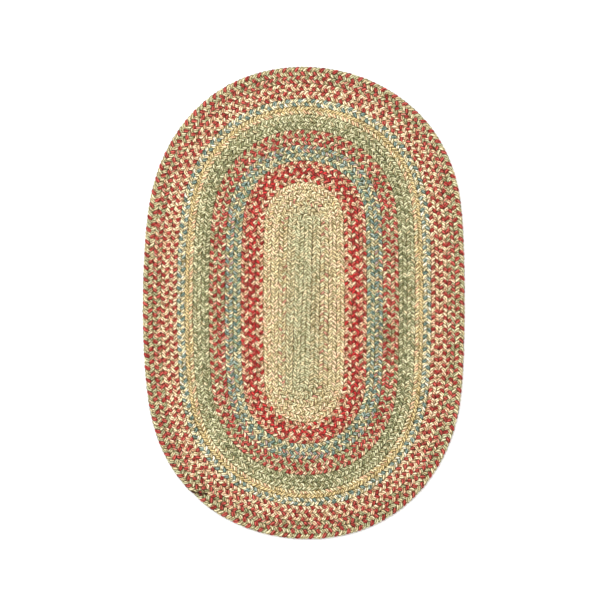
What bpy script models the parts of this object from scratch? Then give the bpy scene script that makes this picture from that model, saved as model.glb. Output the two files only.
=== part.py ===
"""An oval rug of three-strand braid, made as closed rounds that are laced edge to edge.

Blender 4.5, metres, +Z up. The rug lies flat with its length along Y. Its origin is on the
surface that it lies on, under the middle of its outline.

The solid is the whole rug: a flat underside, a half-round rim, and a top in which each round
of braid is a low ridge between two grooves. Every ridge and groove is an oval loop, and one
rule gives them all: a loop is a straight middle that grows outwards by the same amount at both
ends, with sides that bow a little more the farther out it lies.
"""

import math

import bmesh
import bpy

# Driving dimensions, in metres
WIDTH = 0.508
LENGTH = 0.745
THICKNESS = 0.008
ROUNDS = 20
MIDDLE_HALF = 0.1275
GROOVE_DEPTH = 0.0014

# How the oval departs from a true one, as the lacing has drawn it
SIDE_LEAN = 0.0026
SHIFT = 0.0033
SQUARENESS = 0.0018
SQUARE_CORNER = math.radians(36.5)

# Where the loops of one round lie, as shares of its width
NEAR_SHOULDER = 0.26
FAR_SHOULDER = 0.74
SEAM_SHARE = 0.04

# Points on a quarter of a loop: the long side, then the round end
SIDE_STEPS = 5
END_STEPS = 11
SIDE_FACING = math.radians(8)
RIM_STEPS = 4

END_SPREAD = LENGTH / 2 - MIDDLE_HALF
SIDE_BOW = (WIDTH / 2 - END_SPREAD) / MIDDLE_HALF
SIDE_BOW_LEAN = SIDE_LEAN / MIDDLE_HALF
ROUND_WIDTH = WIDTH / 2 / ROUNDS
RIM_RADIUS = THICKNESS / 2
NUDGE = 1e-6

YARN_COLOUR = (0.52, 0.40, 0.25, 1.0)
YARN_ROUGHNESS = 0.9


def clear_scene():
    for thing in list(bpy.data.objects):
        bpy.data.objects.remove(thing)


def bow_at(share, angle):
    """How far the side bows, as a share of the middle's half length."""
    return share * (SIDE_BOW - SIDE_BOW_LEAN * math.cos(angle))


def reach(share, angle):
    """Distance from the centre to the loop's edge line that faces this angle."""
    middle = MIDDLE_HALF * math.hypot(math.sin(angle), bow_at(share, angle))
    shift = SHIFT * math.cos(angle)
    square = SQUARENESS * math.cos(4 * (angle - SQUARE_CORNER))
    return middle + share * (END_SPREAD + shift + square)


def oval_point(share, angle):
    """The point of the loop whose edge faces this angle; share is 0 at the seam, 1 at the rim."""
    here = reach(share, angle)
    slope = (reach(share, angle + NUDGE) - reach(share, angle - NUDGE)) / (2 * NUDGE)
    x = here * math.cos(angle) - slope * math.sin(angle)
    y = here * math.sin(angle) + slope * math.cos(angle)
    return x, y


def quarter_angles(bow):
    """Facing angles from the middle of a side up to the tip of an end, without the tip."""
    side_share = 1 / math.hypot(1, bow / math.tan(SIDE_FACING))
    angles = []
    for step in range(SIDE_STEPS):
        along = side_share * step / SIDE_STEPS
        angles.append(math.atan2(bow * along, math.sqrt(1 - along**2)))
    for step in range(END_STEPS):
        angles.append(SIDE_FACING + (math.pi / 2 - SIDE_FACING) * step / END_STEPS)
    return angles


def loop_angles(share):
    """Facing angles once round a loop, anticlockwise from the middle of the right side."""
    right = quarter_angles(bow_at(share, 0))
    left = quarter_angles(bow_at(share, math.pi))
    tip = [math.pi / 2]
    upper_left = [math.pi - angle for angle in reversed(left)]
    lower_left = [math.pi + angle for angle in left[1:]]
    bottom = [3 * math.pi / 2]
    lower_right = [2 * math.pi - angle for angle in reversed(right[1:])]
    return right + tip + upper_left + lower_left + bottom + lower_right


def outline_fit():
    """Scale and centre that bring the outermost loop to the named width and length."""
    points = [oval_point(1, angle) for angle in loop_angles(1)]
    columns = list(zip(*points))
    low = [min(column) for column in columns]
    high = [max(column) for column in columns]
    scale = WIDTH / (high[0] - low[0]), LENGTH / (high[1] - low[1])
    centre = (low[0] + high[0]) / 2, (low[1] + high[1]) / 2
    return scale, centre


def top_rows():
    """Share and height of each loop from the middle seam to the last shoulder before the rim."""
    rows = [(SEAM_SHARE / ROUNDS, THICKNESS - GROOVE_DEPTH)]
    for number in range(ROUNDS):
        if number > 0:
            rows.append((number / ROUNDS, THICKNESS - GROOVE_DEPTH))
        rows.append(((number + NEAR_SHOULDER) / ROUNDS, THICKNESS))
        if number < ROUNDS - 1:
            rows.append(((number + FAR_SHOULDER) / ROUNDS, THICKNESS))
    return rows


def rim_rows():
    """The half-round rim, from its top round to the flat underside."""
    rows = []
    for step in range(RIM_STEPS + 1):
        turn = math.pi / 2 - math.pi * step / RIM_STEPS
        inset = RIM_RADIUS * (1 - math.cos(turn))
        share = 1 - inset / (ROUND_WIDTH * ROUNDS)
        rows.append((share, RIM_RADIUS * (1 + math.sin(turn))))
    return rows


def row_points(share, height, scale, centre):
    points = []
    for angle in loop_angles(share):
        x, y = oval_point(share, angle)
        points.append(((x - centre[0]) * scale[0], (y - centre[1]) * scale[1], height))
    return points


def rug_mesh():
    """Loops extruded one after another, from the seam over the top and the rim to the underside."""
    scale, centre = outline_fit()
    rows = top_rows() + rim_rows()
    first = row_points(*rows[0], scale, centre)
    shape = bmesh.new()
    circle = bmesh.ops.create_circle(shape, segments=len(first), radius=ROUND_WIDTH)
    loop = circle["verts"]
    for vertex, place in zip(loop, first):
        vertex.co = place
    seam = bmesh.ops.contextual_create(shape, geom=loop)
    edges = list(seam["faces"][0].edges)
    for share, height in rows[1:]:
        grown = bmesh.ops.extrude_edge_only(shape, edges=edges)
        new_points = [part for part in grown["geom"] if isinstance(part, bmesh.types.BMVert)]
        edges = [part for part in grown["geom"] if isinstance(part, bmesh.types.BMEdge)]
        edges = [edge for edge in edges if all(vertex in new_points for vertex in edge.verts)]
        for vertex, place in zip(new_points, row_points(share, height, scale, centre)):
            vertex.co = place
    bmesh.ops.contextual_create(shape, geom=edges)
    bmesh.ops.recalc_face_normals(shape, faces=shape.faces)
    mesh = bpy.data.meshes.new("braided_rug")
    shape.to_mesh(mesh)
    shape.free()
    return mesh


def yarn_material():
    material = bpy.data.materials.new("mixed yarn")
    material.use_nodes = True
    surface = material.node_tree.nodes["Principled BSDF"]
    surface.inputs["Base Color"].default_value = YARN_COLOUR
    surface.inputs["Roughness"].default_value = YARN_ROUGHNESS
    surface.inputs["Metallic"].default_value = 0.0
    material.diffuse_color = YARN_COLOUR
    return material


def make_rug():
    collection = bpy.data.collections.new("braided rug")
    bpy.context.scene.collection.children.link(collection)
    mesh = rug_mesh()
    mesh.shade_smooth()
    mesh.set_sharp_from_angle(angle=math.radians(50))
    mesh.materials.append(yarn_material())
    collection.objects.link(bpy.data.objects.new("braided_rug", mesh))


clear_scene()
make_rug()
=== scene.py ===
"""An oval rug of flat three-strand braid: twenty closed rounds, laced edge to edge."""

import math

import bpy
import numpy as np
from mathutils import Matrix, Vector


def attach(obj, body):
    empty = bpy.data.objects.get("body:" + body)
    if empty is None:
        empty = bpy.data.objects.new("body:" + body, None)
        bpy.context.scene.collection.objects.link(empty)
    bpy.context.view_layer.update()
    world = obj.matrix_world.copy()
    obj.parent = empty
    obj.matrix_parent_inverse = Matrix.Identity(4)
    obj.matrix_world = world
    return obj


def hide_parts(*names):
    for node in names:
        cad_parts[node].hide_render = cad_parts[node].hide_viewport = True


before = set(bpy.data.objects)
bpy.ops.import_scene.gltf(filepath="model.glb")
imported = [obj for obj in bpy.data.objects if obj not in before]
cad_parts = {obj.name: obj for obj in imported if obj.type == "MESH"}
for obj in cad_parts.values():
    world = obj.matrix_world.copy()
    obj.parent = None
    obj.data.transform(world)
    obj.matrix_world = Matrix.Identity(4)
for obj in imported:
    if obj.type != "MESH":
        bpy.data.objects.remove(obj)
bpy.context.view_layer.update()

# The rug's outline and thickness, in metres
WIDTH = 0.508
LENGTH = 0.745
THICKNESS = 0.008
ROUNDS = 20
MIDDLE_HALF = 0.1275  # half the length of the straight middle
SIDE_LEAN = 0.0026  # how much more than the average the left side bows out, and how much less the right
SHIFT = 0.0033  # how far the rounds move to the right from the seam to the rim
SQUARENESS = 0.0018  # how far the ends' corners stand out
SQUARE_CORNER = math.radians(36.5)
END_SPREAD = LENGTH / 2 - MIDDLE_HALF
SIDE_BOW = (WIDTH / 2 - END_SPREAD) / MIDDLE_HALF
SIDE_BOW_LEAN = SIDE_LEAN / MIDDLE_HALF
MIDDLE_HEIGHT = THICKNESS / 2

# How finely the outline is worked out
OVAL_STEPS = 3000
CROWDED_SHARE = 0.02  # nearer the seam than this, the angles are crowded no further
ANGLE_DIGITS = 7
NUDGE = 1e-6  # radians either side, for a slope
TURN_GAUGE = 0.002  # how far each side of a point a course's turning is measured
LEAST_TURN = 1e-4

# Where the grooves lie, in even rounds: those near the rim are drawn in, so the last round spreads wider
GROOVE_AT = ((0, 3, 6, 8, 19, 20), (0, 3.12, 6.0, 7.82, 18.78, 20))
INNER_DRIFT = (0.0007, 0.0009)  # how far the rounds between seam and rim sit to the right and up
DRIFT_FADE = (4, 10)  # how steeply that comes in from the seam and fades out at the rim
SEAM_DRIFT = -0.0016  # the middle rounds sit a little to the left
SEAM_LEAN = 0.031  # and lean
SEAM_REACH = 0.22  # as far out as this

# One braid
STRANDS = 3
SWING = 0.0197  # length of braid in which a strand crosses over and comes back
SWING_SPREAD = 0.05
SWING_RISE = 0.0020
SWING_EASE = 0.30  # how much faster than its average a strand runs along the braid at its edges
OVERLAP = 0.0012  # how far the loops of one round press in between those of the next
EDGE_HALF = 0.00265  # a strand's half width and half height: at the braid's edges, and half way over
CREST_HALF = 0.00320
EDGE_HEIGHT = 0.00240
CREST_HEIGHT = 0.00195
PLUMPNESS = 0.80  # a strand's cross-section: 1 is an oval, and less is squarer
STEEPNESS = 0.7  # how a strand climbs from under to over: 1 is a plain wave, and less is steeper
BEND_SQUEEZE = (0.35, 1.2)  # least and most room a bend leaves a strand
BEND_GIVE = 0.6  # and how far the strand's width follows it
STATIONS = (0.045, 0.095, 0.155, 0.22, 0.28, 0.345, 0.405, 0.455)  # a strand's rows in each half swing
ON_TOP = (0.26, 0.49)  # where in each half swing a strand lies on top
SIDES = 6  # flat faces round one strand
YARNS = 5  # yarns round it
BUNDLE = 7  # yarn colours in a bundle's list

# How uneven handwork is: each wander's size, and the lengths of its waves
SEED = 20
SIDE_WANDER, SIDE_WAVES = 0.00022, (0.21, 0.057, 0.031)
LIFT_WANDER, LIFT_WAVES = 0.00018, (0.17, 0.043)
SIZE_WANDER, SIZE_WAVES = 0.07, (0.35, 0.11)
PACE_WANDER, PACE_WAVES = 0.06, (0.33, 0.12)
WAVE_SIZES = (0.5, 1.0)  # least and most of its size that one wave has
LOOP_SIZE_SPREAD = 0.13
LOOSE_ROUNDS = 5  # the first rounds, which wander more and are braided by turns tighter and looser
LOOSE_WANDER = 2.4  # how many times as much
LOOSE_SPREAD = 0.055
START_SPREAD = 0.5  # most radians that a round's start is away from the joint
GOLD_ROUND = 15  # its strands show other yarns at its inner edge than at its outer one
GOLD_FLIP = 0.7
RIM_SHADE_STOP = 0.7  # the rim has no neighbour, so its edge gets no more painted shade than this far out

# The outermost round's two ends lie side by side at the lower left
JOINT_PLACE = (-0.1776, -0.2936)
JOINT_LENGTH = 0.026
JOINT_LEAST = 0.26  # share of its width that an end keeps at its tip
JOINT_SLIT = 0.26  # reach of the painted shade line in the slit between the two ends, in half widths of the round
# how dark that painted shade is, at most
JOINT_DARK = 0.78
TIP_RISE = 0.6  # share of a strand's rise that doesn't shrink with its width there
TIP_TRIM = 0.0005  # how far short of the braid's ends a strand stops
TIP_HALF = 0.0001  # its half width and half height there

# Lacing thread in the grooves, and the yarn packed inside the braid
LACE_HALF = 0.00042  # half the thread's thickness
LACE_PITCH = 0.0066
LACE_SWAY = 0.0011
LACE_WANDER, LACE_WAVES = 0.2, (9.0, 3.7)  # the waves' lengths are in stitches
LACE_HEIGHT = 0.0012
LACE_DIP = 0.0005
LACE_START = math.radians(234)
LACE_STATIONS = 4
LACE_SIDES = 4
PACKED_RIM = 0.984
PACKED_CREST = 0.0012
PACKED_GROOVE = 0.0006
PACKED_STEPS = 144
PACKED_SHARE = 0.5  # how far out the oval lies whose facing angles it takes
SEAM_SHARE = 0.0006  # how far out the middle seam's lacing runs
SEAM_OPENING = 0.002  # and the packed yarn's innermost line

# Layout of the map that colours are baked to: rows of strand, one above the other
MAP_SPARE = 1.12
MAP_GUTTER = 0.07  # share of a row left empty at each side
MAP_SLACK = 1.3  # how much longer a strand is than its round

# The studio: each light's place, size and power, and the camera, which looks straight down
KEY_LIGHT = ((-0.7, 0.8, 2.7), 1.8, 68.0)
FILL_LIGHT = ((1.6, -0.6, 2.0), 1.6, 10.0)
ROOM_LIGHT = 0.77
FLOOR_HALF = 6.0
FLOOR_COLOUR = (0.94, 0.94, 0.94, 1.0)
CAMERA_HEIGHT = 9.0
SENSOR = 36.0  # millimetres
PIXELS = 600  # across the photograph
METRES_PER_PIXEL = 0.0015760
RUG_CENTRE_PIXEL = (303.7, 302.9)  # from its left and top

rng = np.random.default_rng(SEED)


# ---------------------------------------------------------------- shapes

def reach(share, angle):
    """Distance out to the edge line that faces this angle; share is 0 at the seam and 1 at the rim."""
    bow = share * (SIDE_BOW - SIDE_BOW_LEAN * np.cos(angle))
    middle = MIDDLE_HALF * np.hypot(np.sin(angle), bow)
    square = SQUARENESS * np.cos(4 * (angle - SQUARE_CORNER))
    return middle + share * (END_SPREAD + SHIFT * np.cos(angle) + square)


def facing_angles(share):
    """Facing angles once round an oval, crowded where the long sides turn slowly."""
    even = np.linspace(0, 2 * math.pi, OVAL_STEPS, endpoint=False)
    bow = max(share, CROWDED_SHARE) * SIDE_BOW
    sides = np.mod(np.arctan2(bow * np.sin(even), np.cos(even)), 2 * math.pi)
    return np.unique(np.round(np.concatenate([even, sides]), ANGLE_DIGITS))


def oval(share, angle):
    """The points of an oval, from the edge lines that touch it."""
    here = reach(share, angle)
    slope = (reach(share, angle + NUDGE) - reach(share, angle - NUDGE)) / (2 * NUDGE)
    x = here * np.cos(angle) - slope * np.sin(angle)
    y = here * np.sin(angle) + slope * np.cos(angle)
    return np.stack([x, y], axis=1)


RIM = oval(1.0, facing_angles(1.0))
RIM_CENTRE = (RIM.max(axis=0) + RIM.min(axis=0)) / 2
RIM_SCALE = np.array([WIDTH, LENGTH]) / (RIM.max(axis=0) - RIM.min(axis=0))


def fitted_oval(share, angle):
    """The oval brought to the rug's true width and length, with the inner rounds drifted a little."""
    fade_in, fade_out = DRIFT_FADE
    drift = np.array(INNER_DRIFT) * min(1, fade_in * share) * min(1, fade_out * (1 - share))
    line = (oval(share, angle) - RIM_CENTRE) * RIM_SCALE + drift
    line[:, 0] += (SEAM_DRIFT + SEAM_LEAN * line[:, 1]) * max(0, 1 - share / SEAM_REACH)
    return line


def facing(angle):
    """The outward direction at each facing angle."""
    return np.stack([np.cos(angle), np.sin(angle)], axis=1)


def groove_share(number):
    """Share of the way out at which the groove after this many rounds lies."""
    return np.interp(number, *GROOVE_AT) / ROUNDS


class Course:
    """A closed line that a braid or a lacing thread follows, measured along its length."""

    def __init__(self, share, half_share, start_angle):
        angle = facing_angles(share)
        first = int(np.searchsorted(angle, start_angle % (2 * math.pi)))
        angle = np.concatenate([angle[first:], angle[:first] + 2 * math.pi])
        angle = np.append(angle, angle[0] + 2 * math.pi)
        self.angle = angle
        self.points = fitted_oval(share, angle)
        steps = np.hypot(*np.diff(self.points, axis=0).T)
        self.along = np.concatenate([[0], np.cumsum(steps)])
        self.length = self.along[-1]
        outer_edge = fitted_oval(share + half_share, angle)
        self.half_width = np.sum((outer_edge - self.points) * facing(angle), axis=1)

    def at(self, along):
        """Point, outward direction, half width and turning radius at each distance along."""
        place = np.mod(along, self.length)
        x = np.interp(place, self.along, self.points[:, 0])
        y = np.interp(place, self.along, self.points[:, 1])
        angle = np.interp(place, self.along, self.angle)
        ahead = np.interp(np.minimum(place + TURN_GAUGE, self.length), self.along, self.angle)
        behind = np.interp(np.maximum(place - TURN_GAUGE, 0), self.along, self.angle)
        radius = 2 * TURN_GAUGE / np.maximum(ahead - behind, LEAST_TURN)
        half_width = np.interp(place, self.along, self.half_width)
        return np.stack([x, y], axis=1), facing(angle), half_width, radius


def wobble(along, length, waves):
    """A smooth wobble that closes on itself: waves that each fit the length a whole number of times."""
    total = np.zeros_like(along)
    for wave in waves:
        count = max(1, round(length / wave))
        total += rng.uniform(*WAVE_SIZES) * np.sin(2 * math.pi * (count * along / length + rng.random()))
    return total / len(waves)


def loop_values(turn, swings, spread):
    """A value for each pass of a strand over or under, eased from one pass to the next."""
    values = rng.normal(0, spread, 4 * swings)
    knots = (np.arange(-1, 4 * swings + 1) + 0.5) / 4
    return np.interp(turn, knots, np.concatenate([values[-1:], values, values[:1]]))


def over_values(turn, swings, flip):
    """A value for each pass over the top, changing where the strand is hidden; flip parts the two edges."""
    values = np.repeat(rng.random(2 * swings) + np.tile([-flip, flip], swings), 2)
    knots = np.arange(2 * swings)[:, None] / 2 + np.array(ON_TOP)
    return np.interp(turn, knots.ravel(), values, period=swings)


def joint_angle():
    """Facing angle of the rim nearest to the outermost round's joint."""
    angle = facing_angles(1.0)
    away = np.hypot(*(fitted_oval(1.0, angle) - np.array(JOINT_PLACE)).T)
    return angle[np.argmin(away)]


def tube(points, half_width, half_height, sides):
    """Rows of points round a line, one row for each of its points."""
    ahead = np.gradient(points, axis=0)
    ahead /= np.linalg.norm(ahead, axis=1, keepdims=True)
    side = np.cross(ahead, (0, 0, 1))
    side /= np.linalg.norm(side, axis=1, keepdims=True)
    over = np.cross(side, ahead)
    turn = -math.pi / 2 + 2 * math.pi * np.arange(sides) / sides
    across = np.sign(np.cos(turn)) * np.abs(np.cos(turn)) ** PLUMPNESS
    upward = np.sign(np.sin(turn)) * np.abs(np.sin(turn)) ** PLUMPNESS
    rows = points[:, None, :] + side[:, None, :] * (half_width[:, None] * across)[:, :, None]
    return rows + over[:, None, :] * (half_height[:, None] * upward)[:, :, None]


def closed_tube(points, half_width, half_height, sides):
    """The same round a line that closes on itself."""
    looped = [np.concatenate([line[-2:], line, line[:2]]) for line in (points, half_width, half_height)]
    return tube(*looped, sides)[2:-2]


def tube_faces(rows, sides, closed):
    """Quads of a tube, row by row, and the row and side that each one starts from."""
    last = rows if closed else rows - 1
    row, side = np.meshgrid(np.arange(last), np.arange(sides), indexing="ij")
    row, side = row.ravel(), side.ravel()
    next_row, next_side = (row + 1) % rows, (side + 1) % sides
    this_row, next_row = row * sides, next_row * sides
    corners = [this_row + side, next_row + side, next_row + next_side, this_row + next_side]
    return np.stack(corners, axis=1), row, side


def strand_swings(length, number):
    """How many times each strand of a round crosses over and comes back."""
    uneven = rng.uniform(-SWING_SPREAD, SWING_SPREAD)
    if number <= LOOSE_ROUNDS:
        uneven = (-1) ** number * LOOSE_SPREAD
    return round(length / (SWING * (1 + uneven)))


def uneven_pace(length):
    """A function that says how far the braid has run ahead at each distance along its length."""
    waves = [(wave, rng.uniform(*WAVE_SIZES), rng.random()) for wave in PACE_WAVES]

    def ahead(even):
        total = np.zeros_like(even)
        for wave, size, phase in waves:
            count = max(1, round(length / wave))
            total += size * wave * np.sin(2 * math.pi * (count * even / length + phase))
        return total * PACE_WANDER / (2 * math.pi * len(waves))

    return ahead


def end_tapers(along, length, open_ends):
    """How far, 0 to 1, the braid has widened from its start, and narrowed towards its end."""
    if not open_ends:
        return np.ones_like(along), np.zeros_like(along)
    return np.clip(along / JOINT_LENGTH, 0, 1), np.clip((along - length) / JOINT_LENGTH + 1, 0, 1)


def make_strand(course, number, swings, length, pace, strand):
    """One strand of a round: its rows of points, how far along each row is, and map values by name."""
    open_ends = number == ROUNDS
    turn = (np.arange(2 * swings)[:, None] / 2 + np.array(STATIONS)).ravel()
    even = (turn - strand / STRANDS) / swings * length
    along = even + pace(even) + SWING * SWING_EASE / (8 * math.pi) * np.sin(8 * math.pi * turn)
    if open_ends:
        keep = (along > TIP_TRIM) & (along < length - TIP_TRIM)
        turn, along, even = turn[keep], along[keep], even[keep]
    centre, outward, half_round, radius = course.at(along)

    # At the joint the braid's start narrows towards the outside, and its end towards the inside
    start, end = end_tapers(along, length, open_ends)
    share_left = np.maximum(JOINT_LEAST, start * (1 - end))
    aside = half_round * ((1 - start) - end) * (1 - JOINT_LEAST)
    room = np.sqrt(share_left)

    # In each swing a strand goes across and back once, and over and under twice
    loops = 1 + loop_values(turn, swings, LOOP_SIZE_SPREAD) / 2
    loops += SIZE_WANDER * wobble(even, length, SIZE_WAVES)
    crest = np.abs(np.sin(4 * math.pi * turn)) ** STEEPNESS
    overlap = OVERLAP / 2 if open_ends else OVERLAP
    wander = SIDE_WANDER * (LOOSE_WANDER if number <= LOOSE_ROUNDS else 1)
    sway = half_round * share_left - EDGE_HALF * room + overlap
    across = sway * np.sin(2 * math.pi * turn) + aside - (OVERLAP - overlap)
    across += wander * wobble(even, length, SIDE_WAVES)
    half_width = (EDGE_HALF + (CREST_HALF - EDGE_HALF) * crest) * loops * room
    half_width *= np.clip(1 + across / radius, *BEND_SQUEEZE) ** BEND_GIVE
    half_height = (EDGE_HEIGHT + (CREST_HEIGHT - EDGE_HEIGHT) * crest) * (1 + loops) / 2 * room
    rise = SWING_RISE * (TIP_RISE + (1 - TIP_RISE) * share_left)
    height = -np.sign(np.sin(4 * math.pi * turn)) * rise * crest
    height += LIFT_WANDER * wobble(even, length, LIFT_WAVES) * crest

    points = np.column_stack([centre + outward * across[:, None], MIDDLE_HEIGHT + height])
    if open_ends:
        half_width[[0, -1]] = half_height[[0, -1]] = TIP_HALF
        rows = tube(points, half_width, half_height, SIDES)
    else:
        rows = closed_tube(points, half_width, half_height, SIDES)
    laid = np.concatenate([[0], np.cumsum(np.linalg.norm(np.diff(points, axis=0), axis=1))])

    # How far out in the round each point lies, and how far from the line between the joint's two ends
    tint = over_values(turn, swings, GOLD_FLIP if number == GOLD_ROUND else 0)
    out_from_middle = np.einsum("rsc,rc->rs", rows[:, :, :2] - centre[:, None, :], outward)
    across_round = out_from_middle / half_round[:, None]
    from_slit = across_round - (1 - 2 * np.where(start < 1, start, end))[:, None]
    if open_ends:
        across_round = np.minimum(across_round, RIM_SHADE_STOP)
    at_joint = np.where((start < 1) | (end > 0), 1.0, 0.0)
    each_side = np.ones((1, SIDES))
    return rows, laid, {
        "Fold": (across_round, tint[:, None] * each_side),
        "Joint": (from_slit, at_joint[:, None] * each_side)}


def lay_maps(mesh, corner_maps):
    """Adds each named map to the mesh, one pair of numbers a corner."""
    for name, values in corner_maps.items():
        layer = mesh.uv_layers.new(name=name)
        layer.data.foreach_set("uv", values.reshape(-1).astype(np.float32))
    mesh.uv_layers["Yarn"].active_render = True


def piece_from(name, points, faces, materials):
    """A piece of yarn that belongs to the rug."""
    mesh = bpy.data.meshes.new(name)
    mesh.from_pydata(points.reshape(-1, 3).tolist(), [], [list(face) for face in faces])
    mesh.shade_smooth()
    for material in materials:
        mesh.materials.append(material)
    piece = bpy.data.objects.new(name, mesh)
    bpy.context.scene.collection.objects.link(piece)
    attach(piece, "root")
    return piece


def strip_map(count, segments, sides):
    """Map places for the quads of this many segments of strand, laid in rows that fill a square."""
    perimeter = math.pi * (EDGE_HALF + EDGE_HEIGHT)
    run = count * SWING * MAP_SLACK / (2 * len(STATIONS))
    rows = math.ceil(math.sqrt(run * perimeter * MAP_SPARE) / (perimeter * (1 + 2 * MAP_GUTTER)))
    columns = math.ceil(count / rows)
    line, column = segments // columns, segments % columns
    left, right = column / columns, (column + 1) / columns
    low = (line + MAP_GUTTER + sides / SIDES * (1 - 2 * MAP_GUTTER)) / rows
    high = (line + MAP_GUTTER + (sides + 1) / SIDES * (1 - 2 * MAP_GUTTER)) / rows
    return np.stack([left, low, right, low, right, high, left, high], axis=1)


def at_corners(values, row, side):
    """A value given for each point of a tube, at the four corners of each of its quads."""
    following, beside = (row + 1) % len(values), (side + 1) % SIDES
    return np.stack([
        values[row, side], values[following, side], values[following, beside], values[row, beside]], axis=1)


def yarn_places(rows, laid, row, side):
    """How far round the strand, in yarns, and how far along it each corner of its quads is."""
    middle = rows.mean(axis=1)
    after = laid[row] + np.linalg.norm(middle[(row + 1) % len(rows)] - middle[row], axis=1)
    first_yarn = (BUNDLE - YARNS) / 2
    near, far = side * YARNS / SIDES + first_yarn, (side + 1) * YARNS / SIDES + first_yarn
    return np.stack([near, laid[row], near, after, far, after, far, laid[row]], axis=1)


def make_round(number, finishes):
    """One round of braid, of three strands."""
    inner, outer = groove_share(number - 1), groove_share(number)
    open_ends = number == ROUNDS
    start = joint_angle() + (0 if open_ends else rng.uniform(-START_SPREAD, START_SPREAD))
    course = Course((inner + outer) / 2, (outer - inner) / 2, start)
    length = course.length + (JOINT_LENGTH if open_ends else 0)
    swings = strand_swings(length, number)
    pace = uneven_pace(length)

    points, faces, segments, sides, slots = [], [], [], [], []
    maps = {"Yarn": [], "Fold": [], "Joint": []}
    rows_before = 0
    for strand in range(STRANDS):
        rows, laid, values = make_strand(course, number, swings, length, pace, strand)
        quads, row, side = tube_faces(len(rows), SIDES, not open_ends)
        maps["Yarn"].append(yarn_places(rows, laid, row, side))
        for name, pair in values.items():
            maps[name].append(np.stack([at_corners(value, row, side) for value in pair], axis=2))
        points.append(rows.reshape(-1, 3))
        faces.append(quads + rows_before * SIDES)
        segments.append(row + rows_before)
        sides.append(side)
        slots.append(np.full(len(row), strand))
        rows_before += len(rows)

    piece = piece_from(f"round_{number:02d}", np.concatenate(points), np.concatenate(faces), finishes)
    piece.data.polygons.foreach_set("material_index", np.concatenate(slots).astype(np.int32))
    corner_maps = {name: np.concatenate(values) for name, values in maps.items()}
    corner_maps["OFBake"] = strip_map(rows_before, np.concatenate(segments), np.concatenate(sides))
    lay_maps(piece.data, corner_maps)
    return piece


def make_lacing(finish):
    """The thread that laces each groove and the middle seam, stitch after stitch."""
    points, faces, yarn = [], [], []
    points_before = 0
    step = LACE_PITCH / LACE_STATIONS
    for number in range(ROUNDS):
        course = Course(max(groove_share(number), SEAM_SHARE), 0, LACE_START)
        stitches = round(course.length / LACE_PITCH)
        turn = np.arange(stitches * LACE_STATIONS) / LACE_STATIONS
        centre, outward, _, _ = course.at(turn / stitches * course.length)
        sway = LACE_SWAY * (1 + LACE_WANDER * wobble(turn, stitches, LACE_WAVES))
        across = sway * np.sin(2 * math.pi * turn)
        height = LACE_HEIGHT + LACE_DIP * np.cos(4 * math.pi * turn)
        line = np.column_stack([centre + outward * across[:, None], MIDDLE_HEIGHT + height])
        size = np.full(len(line), LACE_HALF)
        rows = closed_tube(line, size, size, LACE_SIDES)
        quads, row, side = tube_faces(len(rows), LACE_SIDES, True)
        laid = row * step
        near, far = side / LACE_SIDES, (side + 1) / LACE_SIDES
        yarn.append(np.stack([near, laid, near, laid + step, far, laid + step, far, laid], axis=1))
        points.append(rows.reshape(-1, 3))
        faces.append(quads + points_before)
        points_before += len(rows) * LACE_SIDES
    piece = piece_from("lacing", np.concatenate(points), np.concatenate(faces), [finish])
    lay_maps(piece.data, {"Yarn": np.concatenate(yarn)})
    return piece


def make_packed_yarn(finish):
    """The yarn packed inside the braid, closed from seam to rim, with a low ridge under each round."""
    top = []
    for number in range(ROUNDS):
        top.append((max(groove_share(number), SEAM_OPENING), PACKED_GROOVE))
        top.append(((groove_share(number) + groove_share(number + 1)) / 2, PACKED_CREST))
    top.append((PACKED_RIM, PACKED_GROOVE))
    rows = top + [(share, -rise) for share, rise in reversed(top)]
    angle = facing_angles(PACKED_SHARE)
    angle = np.interp(np.arange(PACKED_STEPS) / PACKED_STEPS, np.arange(len(angle)) / len(angle), angle)
    loops = [
        np.column_stack([fitted_oval(share, angle), np.full(PACKED_STEPS, MIDDLE_HEIGHT + rise)])
        for share, rise in rows
    ]
    quads, _, _ = tube_faces(len(rows), PACKED_STEPS, False)
    first_cap = list(range(PACKED_STEPS))
    last_cap = [(len(rows) - 1) * PACKED_STEPS + step for step in reversed(first_cap)]
    return piece_from("packed_yarn", np.array(loops), quads.tolist() + [first_cap, last_cap], [finish])


# ---------------------------------------------------------------- finishes

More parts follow.
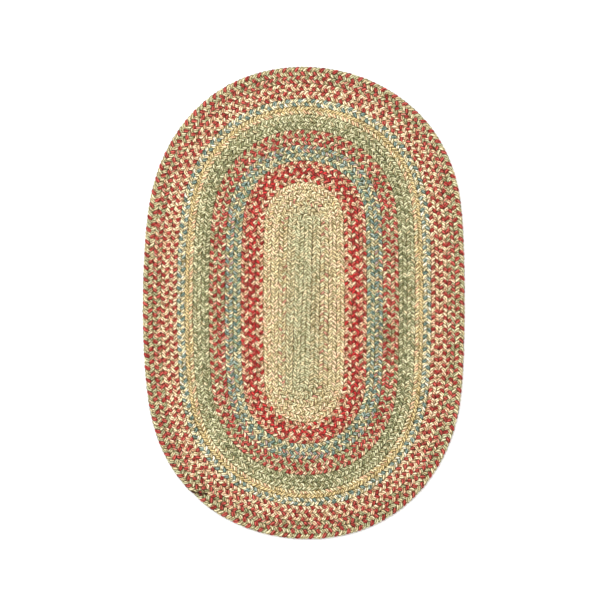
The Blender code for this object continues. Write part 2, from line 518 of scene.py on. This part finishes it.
class Wire:
    """One output in a material's tree, or the bare tree; sums and products of wires add Math nodes."""

    def __init__(self, tree, socket=None):
        self.tree = tree
        self.socket = socket

    def node(self, kind, settings=(), sockets=(), output=0):
        """Adds a node: its settings first, then the values or wires of its sockets."""
        made = self.tree.nodes.new(kind)
        for name, value in dict(settings).items():
            if name == "stops":
                fill_ramp(made.color_ramp, value)
            else:
                setattr(made, name, value)
        for name, value in dict(sockets).items():
            if isinstance(value, Wire):
                self.tree.links.new(value.socket, made.inputs[name])
            else:
                made.inputs[name].default_value = value
        return Wire(self.tree, made.outputs[output] if made.outputs else None)

    def math(self, operation, *values):
        """A Math node, which works on this wire and then on the values."""
        return self.node("ShaderNodeMath", {"operation": operation}, dict(enumerate((self, *values))))

    def __add__(self, other):
        return self.math("ADD", other)

    def __sub__(self, other):
        return self.math("SUBTRACT", other)

    def __rsub__(self, other):
        return (self * -1.0).math("ADD", other)

    def __mul__(self, other):
        return self.math("MULTIPLY", other)

    def __truediv__(self, other):
        return self.math("DIVIDE", other)

    __radd__ = __add__
    __rmul__ = __mul__

    def floor(self):
        return self.math("FLOOR")

    def part(self):
        return self.math("FRACT")

    def wave(self):
        """Sine of this many whole turns."""
        return (self * (2 * math.pi)).math("SINE")

    def between(self, low, high, start=0.0, end=1.0):
        """Eases from start to end as this goes from low to high."""
        return self.node("ShaderNodeMapRange", {"interpolation_type": "SMOOTHSTEP"},
                         {0: self, 1: low, 2: high, 3: start, 4: end})

    def straight(self, least, most):
        """Least where this is 0 and most where it is 1, in a straight line."""
        return self * (most - least) + least

    def shade(self, brightness):
        """This colour, made brighter or darker."""
        return self.node("ShaderNodeVectorMath", {"operation": "SCALE"}, {0: self, 3: brightness})

    def axis(self, number):
        """One of this vector's three numbers."""
        return self.node("ShaderNodeSeparateXYZ", {}, {0: self}, output=number)

    def vector(self, *numbers):
        """Three numbers as one vector."""
        return self.node("ShaderNodeCombineXYZ", {}, dict(enumerate(numbers)))

    def place(self):
        """Where on the rug a point is, in metres: the Object output."""
        return self.node("ShaderNodeTexCoord", output=3)

    def map(self, name):
        """The two numbers that one of the mesh's maps gives a point."""
        laid = self.node("ShaderNodeUVMap", {"uv_map": name})
        return laid.axis(0), laid.axis(1)

    def mixed(self, first, second, blend="MIX"):
        """The first colour where this is 0, and where it is 1 the second, or both blended."""
        return self.node("ShaderNodeMix", {"data_type": "RGBA", "blend_type": blend},
                         {0: self, 6: first, 7: second}, output=2)

    def grain(self, scale, detail=2.0, roughness=0.5):
        """Soft noise at this place, about 0 to 1."""
        return self.node("ShaderNodeTexNoise", {"noise_dimensions": "3D"},
                         {"Vector": self, "Scale": scale, "Detail": detail, "Roughness": roughness})


def fill_ramp(ramp, stops):
    """Gives a colour ramp its stops, with a hard step at each."""
    ramp.interpolation = "CONSTANT"
    while len(ramp.elements) < len(stops):
        ramp.elements.new(1.0)
    for element, (place, colour) in zip(ramp.elements, stops):
        element.position = place
        element.color = colour


def dyed(red, green, blue):
    """A colour given as on a shade card, 0 to 255, as the light it returns."""
    parts = [value / 255 for value in (red, green, blue)]
    light = [((part + 0.055) / 1.055) ** 2.4 if part > 0.04 else part / 12.92 for part in parts]
    return (*light, 1.0)


def new_finish(name):
    """A material, and its tree with nothing in it yet."""
    material = bpy.data.materials.new(name)
    material.use_nodes = True
    material.node_tree.nodes.clear()
    return material, Wire(material.node_tree)


def finish_surface(wires, colour, roughness, height, sheen):
    """Ends a material as matt cloth, with its relief in metres."""
    bump = wires.node("ShaderNodeBump", {}, {"Strength": 1.0, "Distance": 1.0, "Height": height})
    surface = wires.node("ShaderNodeBsdfPrincipled", {}, {
        "Base Color": colour, "Roughness": roughness, "Normal": bump, "Specular IOR Level": 0.15,
        "Sheen Weight": sheen, "Sheen Roughness": 0.5})
    wires.node("ShaderNodeOutputMaterial", {}, {"Surface": surface})


# Yarns in a strand, plies in a yarn, and fibres
PLY_PITCH = 0.0050
PLY_SLANT = 0.45
PLY_STAGGER = 0.37
YARN_RELIEF = 0.00110
PLY_RELIEF = 0.00030
FIBRE_RELIEF = 0.00010
ROLL = 2.4  # about how many yarns a strand can roll round by from one loop to the next
DRIFT = 6.0  # and over a longer stretch
DRIFT_PACE = 12.0
FIBRE_GRAIN = (15, 260, 3.1)  # how fine: round the strand, along it, and from yarn to yarn
FIBRE_DETAIL, FIBRE_ROUGHNESS = 3.0, 0.6
FLECK_GRAIN = (5.3, 330, 3)  # from yarn to yarn, along the strand, and from loop to loop
YARN_MATT = (0.75, 0.95)
YARN_SHEEN = 0.08
YARN_ROUND = 1.001  # a hair over 1, so that the root for a yarn's height never fails

# Painted light and shade on the yarns, and the own tone of their flecks and fibres: as a value goes from
# the first number to the second, the brightness goes from the third to the fourth
SUNK_LIGHT = (0.0, 0.9, 1.0, 0.50)
YARN_LIGHT = (0.40, 0.97, 0.25, 1.33)
PLY_LIGHT = (0.0, 0.6, 0.50, 1.06)
FLECK_LIGHT = (0.28, 0.64, 0.55, 1.22)
FIBRE_LIGHT = (0.3, 0.72, 0.60, 1.18)
MOST_LIGHT = 1.20
SHADED = (0.66, 0.54, 0.18, 1.0)  # the warm tint of a yarn in painted shade
SHADED_SHARE = (0.1, 1.05, 1.0, 0.0)  # and how much of it is laid on, from little painted light to much

# Where painted shade darkens the colour: low between the loops, and along each round's middle and its two
# edges
SUNK_RISE = (0.25, 0.90, 1.0, 0.0)
RIM_SHADE_FADE = 0.3
FOLD_MIDDLE = (0.0, 0.26, 1.0, 0.0)
FOLD_EDGE = (0.74, 1.0)
FOLD_GRAIN, FOLD_RAGGED = 190.0, 0.9
FOLD_PATCHES = 55.0
FOLD_SHADE = (0.3, 0.7, 0.16, 0.46)  # how dark those painted shade lines are, from patch to patch

COLOURS = {
    "leaf": dyed(226, 222, 182),
    "lichen": dyed(214, 209, 168),
    "sage": dyed(194, 191, 150),
    "moss": dyed(166, 165, 122),
    "fern": dyed(136, 138, 100),
    "straw": dyed(236, 222, 180),
    "hay": dyed(208, 191, 148),
    "olive": dyed(172, 156, 108),
    "cream": dyed(252, 234, 188),
    "sand": dyed(226, 206, 158),
    "honey": dyed(196, 172, 120),
    "gold": dyed(229, 203, 146),
    "white": dyed(246, 240, 222),
    "shell": dyed(255, 223, 188),
    "peach": dyed(238, 193, 155),
    "clay": dyed(204, 157, 121),
    "blush": dyed(211, 145, 125),
    "rose": dyed(201, 90, 80),
    "red": dyed(210, 60, 58),
    "madder": dyed(185, 82, 72),
    "brick": dyed(171, 58, 52),
    "teal": dyed(124, 146, 136),
    "mist": dyed(170, 183, 171),
    "sea": dyed(150, 172, 138),
    "mauve": dyed(178, 156, 150),
}

# The yarns round each kind of strand
BUNDLES = {
    "sage strand": "lichen leaf lichen straw lichen leaf lichen",
    "pale sage strand": "leaf lichen leaf straw lichen leaf lichen",
    "grey green strand": "lichen sage lichen sage sage lichen sage",
    "hay strand": "straw hay straw leaf straw hay straw",
    "pale hay strand": "straw leaf straw hay straw leaf lichen",
    "sand strand": "cream sand shell hay sand sand honey",
    "pale sand strand": "cream sand shell straw cream sand cream",
    "pink fleck strand": "cream blush sand sand blush sand peach",
    "cream strand": "cream sand shell cream sand shell white",
    "gold fleck strand": "cream gold peach sand peach gold sand",
    "gold strand": "gold sand gold gold cream peach cream",
    "tan gold strand": "sand gold honey gold straw lichen sand",
    "red strand": "red rose brick red rose brick red",
    "rose strand": "rose red rose madder brick rose brick",
    "faded red strand": "madder rose brick madder rose madder brick",
    "shell strand": "shell cream shell cream shell peach shell",
    "peach strand": "peach shell clay shell peach clay shell",
    "pink shell strand": "shell blush shell peach shell sage peach",
    "blush strand": "shell blush peach clay rose shell olive",
    "pink moss strand": "shell rose shell sage rose shell moss",
    "teal strand": "teal mist teal teal mist teal mist",
    "mist strand": "mist cream mauve cream mist cream mauve",
    "sea strand": "leaf straw sea straw leaf sea straw",
    "white strand": "cream white cream white cream white straw",
    "sage hay strand": "hay leaf sage hay straw sage moss",
    "dusty strand": "clay sage blush hay moss sage clay",
    "olive shell strand": "olive shell sage peach shell sage hay",
    "leaf strand": "leaf sage hay moss leaf straw sage",
    "moss strand": "moss sage fern sage moss leaf sage",
    "pale leaf strand": "leaf straw leaf lichen leaf straw leaf",
    "fern strand": "moss fern sage moss fern sage moss",
}

# The three strands of each round, from the middle out
ROUND_STRANDS = (
    ("sage strand", "pale sage strand", "grey green strand"),
    ("pale hay strand", "hay strand", "sage hay strand"),
    ("sand strand", "pink fleck strand", "hay strand"),
    ("pale sand strand", "sand strand", "cream strand"),
    ("cream strand", "gold fleck strand", "pale sand strand"),
    ("red strand", "peach strand", "peach strand"),
    ("red strand", "red strand", "pink shell strand"),
    ("rose strand", "pink shell strand", "blush strand"),
    ("teal strand", "sage hay strand", "sea strand"),
    ("teal strand", "mist strand", "dusty strand"),
    ("faded red strand", "pink moss strand", "dusty strand"),
    ("faded red strand", "dusty strand", "olive shell strand"),
    ("moss strand", "pale leaf strand", "fern strand"),
    ("pale leaf strand", "leaf strand", "moss strand"),
    ("gold strand", "gold strand", "tan gold strand"),
    ("teal strand", "white strand", "pale hay strand"),
    ("faded red strand", "shell strand", "peach strand"),
    ("faded red strand", "shell strand", "peach strand"),
    ("faded red strand", "olive shell strand", "dusty strand"),
    ("faded red strand", "sage hay strand", "sage hay strand"),
)


def shade_left(wires, across_round, at_rim):
    """The light left on a loop by its neighbours and its own depth, painted into its colour as shade."""
    place = wires.place()
    sunk = (place.axis(2) / MIDDLE_HEIGHT - 1.0).math("ABSOLUTE").between(*SUNK_RISE)
    # The rim's open outer side loses its painted shade
    if at_rim:
        sunk = sunk * across_round.between(RIM_SHADE_STOP - RIM_SHADE_FADE, RIM_SHADE_STOP, 1.0, 0.0)
    ragged = (place.grain(FOLD_GRAIN) - 0.5) * FOLD_RAGGED
    from_middle = (across_round + ragged).math("ABSOLUTE")
    fold = from_middle.between(*FOLD_MIDDLE) + from_middle.between(*FOLD_EDGE)
    return sunk.between(*SUNK_LIGHT) * (1 - fold * place.grain(FOLD_PATCHES).between(*FOLD_SHADE))


def joint_shade(wires):
    """The light left by the painted shade of the slit between the rim's two ends."""
    from_slit, at_joint = wires.map("Joint")
    return 1 - from_slit.math("ABSOLUTE").between(JOINT_SLIT / 2, JOINT_SLIT, JOINT_DARK, 0.0) * at_joint


def strand_finish(name, at_rim=False):
    """Matt yarn: two-ply yarns side by side along the strand, in the bundle's order."""
    material, wires = new_finish(f"rim {name}" if at_rim else name)
    around, along = wires.map("Yarn")
    across_round, tint = wires.map("Fold")
    wander = wires.vector(along * DRIFT_PACE, 0.0, 0.0).grain(1.0) - 0.5
    turn = around + (tint - 0.5) * ROLL + wander * DRIFT
    yarn = turn.floor()
    across = turn.part() * 2 - 1
    rounding = (YARN_ROUND - across * across).math("SQRT")
    ply = (along / PLY_PITCH + across * PLY_SLANT + yarn * PLY_STAGGER).part() * 2 - 1
    twist = 1.0 - ply * ply
    by_turn, by_length, by_yarn = FIBRE_GRAIN
    fibre_place = wires.vector(turn * by_turn, along * by_length, yarn * by_yarn)
    fibre = fibre_place.grain(1.0, FIBRE_DETAIL, FIBRE_ROUGHNESS)
    by_yarn, by_length, by_loop = FLECK_GRAIN
    fleck = wires.vector(yarn * by_yarn, along * by_length, tint * by_loop).grain(1.0)
    # Painted light: painted shade from neighbours, depth and the joint's slit, a painted highlight on each
    # yarn's crown and painted shade between yarns and plies, times the own tone of flecks and fibres
    brightness = (
        shade_left(wires, across_round, at_rim)
        * joint_shade(wires)
        * rounding.between(*YARN_LIGHT)
        * twist.between(*PLY_LIGHT)
        * fleck.between(*FLECK_LIGHT)
        * fibre.between(*FIBRE_LIGHT)
    ).math("MINIMUM", MOST_LIGHT)

    stops = [(index / BUNDLE, COLOURS[colour]) for index, colour in enumerate(BUNDLES[name].split())]
    dye = wires.node("ShaderNodeValToRGB", {"stops": stops}, {0: ((yarn + 0.5) / BUNDLE).part()})
    # Painted shade also turns the colour warmer where it is darkest
    colour = brightness.between(*SHADED_SHARE).mixed(dye, SHADED, "MULTIPLY").shade(brightness)
    height = rounding * YARN_RELIEF + twist * PLY_RELIEF + fibre * FIBRE_RELIEF
    finish_surface(wires, colour, fibre.straight(*YARN_MATT), height, YARN_SHEEN)
    return material


LACE_TWIST = 0.0016
LACE_GRAIN = (6, 900)  # how fine: round the thread, and along it
LACE_RELIEF = 0.00006
LACE_DARK, LACE_PALE = dyed(112, 92, 62), dyed(150, 126, 88)
LACE_LIGHT = (0.9, 1.05)
LACE_MATT = (0.7, 0.9)
LACE_SHEEN = 0.1


def lacing_finish():
    """Thin tan thread of two plies."""
    material, wires = new_finish("lacing thread")
    around, along = wires.map("Yarn")
    twist = (along / LACE_TWIST + around).wave()
    by_turn, by_length = LACE_GRAIN
    grain = wires.vector(around * by_turn, along * by_length, 0.0).grain(1.0)
    # The twist paints a little shade between the two plies
    colour = grain.mixed(LACE_DARK, LACE_PALE).shade(twist.straight(*LACE_LIGHT))
    finish_surface(wires, colour, grain.straight(*LACE_MATT), twist * LACE_RELIEF, LACE_SHEEN)
    return material


PACKED_COARSE, PACKED_FINE = 240.0, 1500.0
PACKED_DETAIL = 3.0
PACKED_RELIEF = 0.0003
# Dark browns that paint the shade seen deep between the loops
PACKED_DARK, PACKED_PALE = dyed(84, 72, 44), dyed(122, 100, 66)
PACKED_PATCHES = (0.35, 0.65)
PACKED_LIGHT = (0.7, 1.2)
PACKED_MATT = (0.8, 0.95)
PACKED_SHEEN = 0.1


def packed_finish():
    """Yarn seen only deep between the loops, dyed dark as painted shade there."""
    material, wires = new_finish("packed yarn")
    place = wires.place()
    coarse = place.grain(PACKED_COARSE, PACKED_DETAIL)
    fine = place.grain(PACKED_FINE)
    dye = coarse.between(*PACKED_PATCHES).mixed(PACKED_DARK, PACKED_PALE)
    colour = dye.shade(fine.straight(*PACKED_LIGHT))
    finish_surface(wires, colour, fine.straight(*PACKED_MATT), fine * PACKED_RELIEF, PACKED_SHEEN)
    return material


# ---------------------------------------------------------------- the rug

finishes = {name: strand_finish(name) for name in BUNDLES}
# The rim's copies of the finishes, with less painted shade on its open outer side
rim_finishes = {name: strand_finish(name, at_rim=True) for name in sorted(set(ROUND_STRANDS[-1]))}
rounds = [
    make_round(number, [(rim_finishes if number == ROUNDS else finishes)[name] for name in names])
    for number, names in enumerate(ROUND_STRANDS, 1)
]
lacing = make_lacing(lacing_finish())
packed = make_packed_yarn(packed_finish())

outline = fitted_oval(1.0, facing_angles(1.0))
after = np.roll(outline, -1, axis=0)
rug_area = abs(np.sum(outline[:, 0] * after[:, 1] - after[:, 0] * outline[:, 1])) / 2
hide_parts("braided_rug")


# ---------------------------------------------------------------- studio

def make_floor():
    corners = [(x * FLOOR_HALF, y * FLOOR_HALF, 0) for x, y in ((-1, -1), (1, -1), (1, 1), (-1, 1))]
    mesh = bpy.data.meshes.new("floor")
    mesh.from_pydata(corners, [], [(0, 1, 2, 3)])
    floor = bpy.data.objects.new("floor", mesh)
    bpy.context.scene.collection.objects.link(floor)
    material, wires = new_finish("pale floor")
    surface = wires.node("ShaderNodeBsdfPrincipled", {}, {
        "Base Color": FLOOR_COLOUR, "Roughness": 0.9, "Specular IOR Level": 0.2})
    wires.node("ShaderNodeOutputMaterial", {}, {"Surface": surface})
    mesh.materials.append(material)


def make_light(name, place, size, power):
    """A square soft light that faces the middle of the rug."""
    light = bpy.data.lights.new(name, "AREA")
    light.shape = "SQUARE"
    light.size = size
    light.energy = power
    lamp = bpy.data.objects.new(name, light)
    lamp.location = place
    lamp.rotation_euler = (-Vector(place)).to_track_quat("-Z", "Y").to_euler()
    bpy.context.scene.collection.objects.link(lamp)


def make_studio():
    world = bpy.data.worlds.new("studio")
    world.use_nodes = True
    sky = world.node_tree.nodes["Background"]
    sky.inputs["Color"].default_value = (1.0, 1.0, 1.0, 1.0)
    sky.inputs["Strength"].default_value = ROOM_LIGHT
    bpy.context.scene.world = world
    make_light("key light", *KEY_LIGHT)
    make_light("fill light", *FILL_LIGHT)
    bpy.context.scene.view_settings.view_transform = "Standard"


def make_camera():
    camera = bpy.data.cameras.new("camera")
    camera.sensor_width = SENSOR
    camera.lens = SENSOR * (CAMERA_HEIGHT - THICKNESS) / (METRES_PER_PIXEL * PIXELS)
    eye = bpy.data.objects.new("camera", camera)
    right, down = RUG_CENTRE_PIXEL
    eye.location = (
        (PIXELS / 2 - right) * METRES_PER_PIXEL, (down - PIXELS / 2) * METRES_PER_PIXEL, CAMERA_HEIGHT)
    bpy.context.scene.collection.objects.link(eye)
    bpy.context.scene.camera = eye


make_floor()
make_studio()
make_camera()
